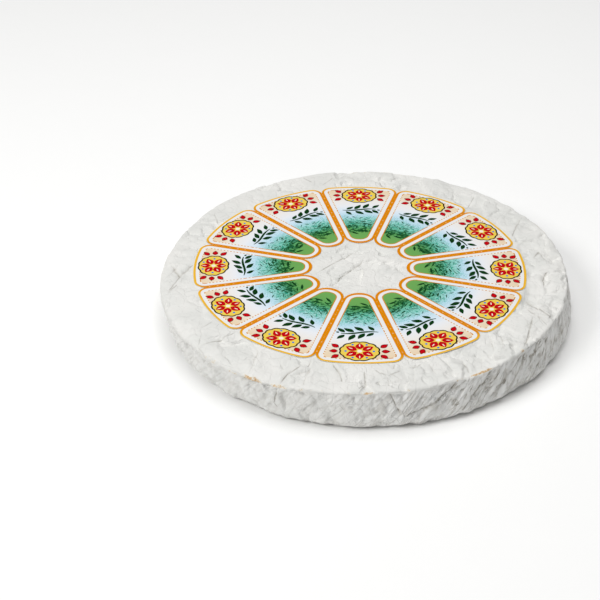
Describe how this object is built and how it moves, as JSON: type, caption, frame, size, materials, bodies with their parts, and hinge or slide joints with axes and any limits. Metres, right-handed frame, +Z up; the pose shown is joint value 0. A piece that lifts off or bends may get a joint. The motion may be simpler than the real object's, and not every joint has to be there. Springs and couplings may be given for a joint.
{
  "type": "brie wheel",
  "caption": "Large flat round soft-ripened cheese in a creased white rind, with wedge-shaped paper labels in a ring on top; rests flat on its base.",
  "frame": {"origin": "on the flat base, under the middle of the wheel", "axes": "+Z up through the wheel's thickness, out of its labelled top; -Y towards the front of the picture, +X to its right"},
  "size_m": [0.3403, 0.3449, 0.0357],
  "materials": {
    "rind": "matte, creased, near-neutral white rind with small orange-brown worn specks along the rim",
    "label_paper": "smooth printed paper with an orange edge and a green tip"
  },
  "bodies": {
    "root": {"wheel": "rind", "label_01": "label_paper", "label_02": "label_paper", "label_03": "label_paper", "label_04": "label_paper", "label_05": "label_paper", "label_06": "label_paper", "label_07": "label_paper", "label_08": "label_paper", "label_09": "label_paper", "label_10": "label_paper", "label_11": "label_paper", "label_12": "label_paper"}
  },
  "joints": []
}
